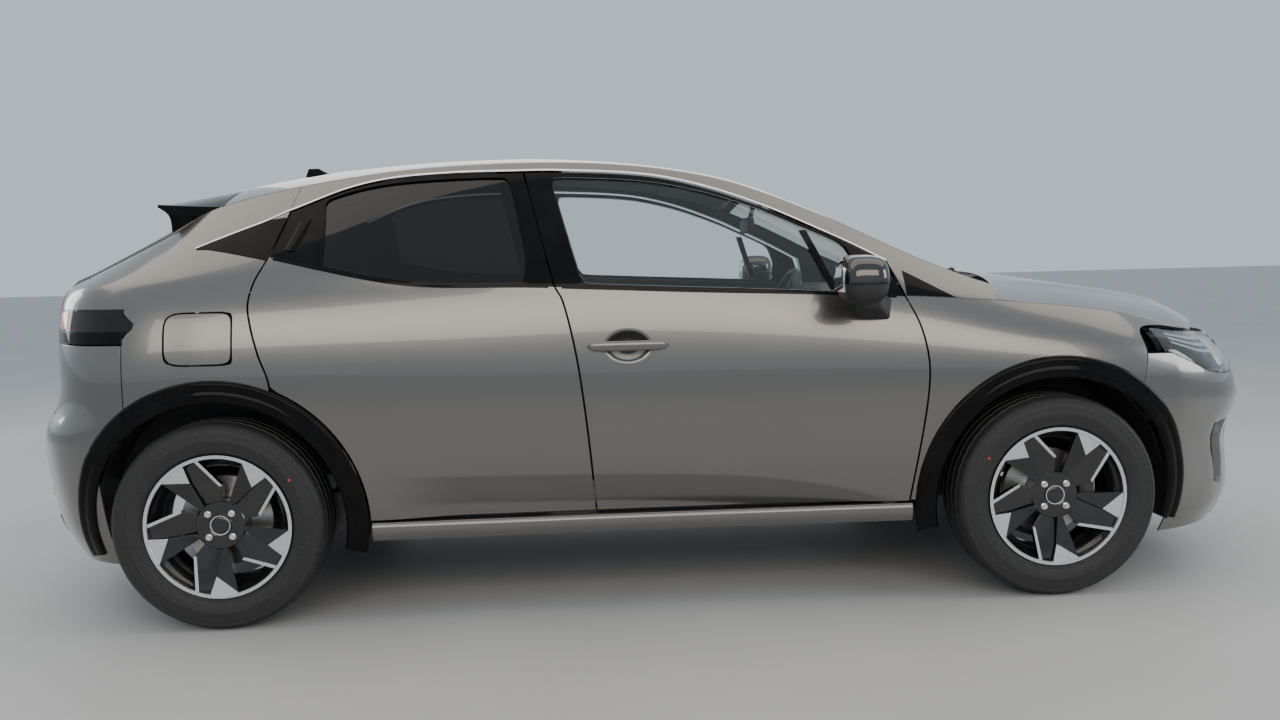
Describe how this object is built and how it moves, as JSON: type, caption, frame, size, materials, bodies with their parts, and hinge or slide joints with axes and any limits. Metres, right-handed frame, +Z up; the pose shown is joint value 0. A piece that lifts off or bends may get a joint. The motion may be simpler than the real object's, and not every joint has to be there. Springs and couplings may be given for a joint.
{
  "type": "hatchback car",
  "caption": "Small hatchback car with opening doors, bonnet, tailgate and filler flap, steered front wheels, furnished cabin and dark arch trims.",
  "frame": {"origin": "on the floor under the middle of the length and width", "axes": "+X to the nose, +Y to the car's left side, +Z up"},
  "size_m": [4.1126, 2.1514, 1.4517],
  "materials": {
    "paint": "satin metallic",
    "gloss_black": "gloss",
    "black_plastic": "grained",
    "clear_glass": "clear",
    "dark_glass": "tinted",
    "lamp_clear": "clear",
    "lamp_red": "gloss",
    "steel": "plain",
    "body_steel": "primer",
    "cast": "rough",
    "alloy": "machined",
    "tyre": "matt",
    "cloth": "woven"
  },
  "bodies": {
    "body": {"floor_pan": "body_steel", "side_frames": "paint", "quarter_panels": "paint", "quarter_trims": "gloss_black", "filler_bowl": "black_plastic", "roof": "paint", "windscreen": "clear_glass", "cowl": "black_plastic", "wings": "paint", "front_bumper": "paint", "grille": "gloss_black", "headlamps": "lamp_clear", "rear_bumper": "paint", "taillamps": "lamp_red", "arch_trims": "gloss_black", "sill_trims": "paint", "hinges": "steel", "engine_block": "cast", "fuel_tank": "black_plastic", "exhaust": "steel", "front_subframe": "steel", "rear_axle": "steel", "front_seats": "cloth", "rear_seat": "cloth", "dashboard": "black_plastic", "wipers": "black_plastic", "roof_fin": "gloss_black"},
    "right_front_door": {"right_front_door": "paint", "right_front_glass": "clear_glass", "right_mirror": "gloss_black"},
    "left_front_door": {"left_front_door": "paint", "left_front_glass": "clear_glass", "left_mirror": "gloss_black"},
    "right_rear_door": {"right_rear_door": "paint", "right_rear_glass": "dark_glass"},
    "left_rear_door": {"left_rear_door": "paint", "left_rear_glass": "dark_glass"},
    "bonnet": {"bonnet": "paint"},
    "tailgate": {"tailgate": "paint", "tailgate_glass": "dark_glass", "spoiler": "gloss_black"},
    "fuel_flap": {"fuel_flap": "paint"},
    "steering_wheel": {"steering_wheel": "black_plastic"},
    "right_knuckle": {"right_knuckle": "cast"},
    "left_knuckle": {"left_knuckle": "cast"},
    "right_front_wheel": {"right_front_wheel": "alloy", "right_front_tyre": "tyre"},
    "left_front_wheel": {"left_front_wheel": "alloy", "left_front_tyre": "tyre"},
    "right_rear_wheel": {"right_rear_wheel": "alloy", "right_rear_tyre": "tyre"},
    "left_rear_wheel": {"left_rear_wheel": "alloy", "left_rear_tyre": "tyre"}
  },
  "joints": [
    {"name": "right_front_door_hinge", "type": "hinge", "parent": "body", "child": "right_front_door", "pos_m": [0.71803, -0.84095, 0.65295], "axis": [0, 0, 1], "range_deg": [0, 66]},
    {"name": "left_front_door_hinge", "type": "hinge", "parent": "body", "child": "left_front_door", "pos_m": [0.71803, 0.84095, 0.65295], "axis": [0, 0, -1], "range_deg": [0, 66]},
    {"name": "right_rear_door_hinge", "type": "hinge", "parent": "body", "child": "right_rear_door", "pos_m": [-0.34992, -0.84145, 0.65295], "axis": [0, 0, 1], "range_deg": [0, 66]},
    {"name": "left_rear_door_hinge", "type": "hinge", "parent": "body", "child": "left_rear_door", "pos_m": [-0.34992, 0.84145, 0.65295], "axis": [0, 0, -1], "range_deg": [0, 66]},
    {"name": "bonnet_hinge", "type": "hinge", "parent": "body", "child": "bonnet", "pos_m": [1.12977, 0, 0.95715], "axis": [0, -1, 0], "range_deg": [0, 48]},
    {"name": "tailgate_hinge", "type": "hinge", "parent": "body", "child": "tailgate", "pos_m": [-1.48032, 0, 1.2355], "axis": [0, 1, 0], "range_deg": [0, 76]},
    {"name": "fuel_flap_hinge", "type": "hinge", "parent": "body", "child": "fuel_flap", "pos_m": [-1.33212, -0.84232, 0.88801], "axis": [0, 0, 1], "range_deg": [0, 85]},
    {"name": "right_steer", "type": "hinge", "parent": "body", "child": "right_knuckle", "pos_m": [1.213, -0.69608, 0.32], "axis": [0, 0, 1], "range_deg": [-34, 34]},
    {"name": "left_steer", "type": "hinge", "parent": "body", "child": "left_knuckle", "pos_m": [1.213, 0.69608, 0.32], "axis": [0, 0, 1], "range_deg": [-34, 34]},
    {"name": "steering_wheel_turn", "type": "hinge", "parent": "body", "child": "steering_wheel", "pos_m": [0.55229, 0.36244, 0.84884], "axis": [-0.9135, 0, 0.4067], "range_deg": [-510, 510]},
    {"name": "right_front_wheel_spin", "type": "hinge", "parent": "right_knuckle", "child": "right_front_wheel", "pos_m": [1.213, -0.77, 0.32], "axis": [0, 1, 0], "continuous": true},
    {"name": "left_front_wheel_spin", "type": "hinge", "parent": "left_knuckle", "child": "left_front_wheel", "pos_m": [1.213, 0.77, 0.32], "axis": [0, 1, 0], "continuous": true},
    {"name": "right_rear_wheel_spin", "type": "hinge", "parent": "body", "child": "right_rear_wheel", "pos_m": [-1.378, -0.77, 0.32], "axis": [0, 1, 0], "continuous": true},
    {"name": "left_rear_wheel_spin", "type": "hinge", "parent": "body", "child": "left_rear_wheel", "pos_m": [-1.378, 0.77, 0.32], "axis": [0, 1, 0], "continuous": true}
  ],
  "couplings": [
    {"joint": "left_steer", "follows": "right_steer", "ratio": 1},
    {"joint": "steering_wheel_turn", "follows": "right_steer", "ratio": 15}
  ]
}
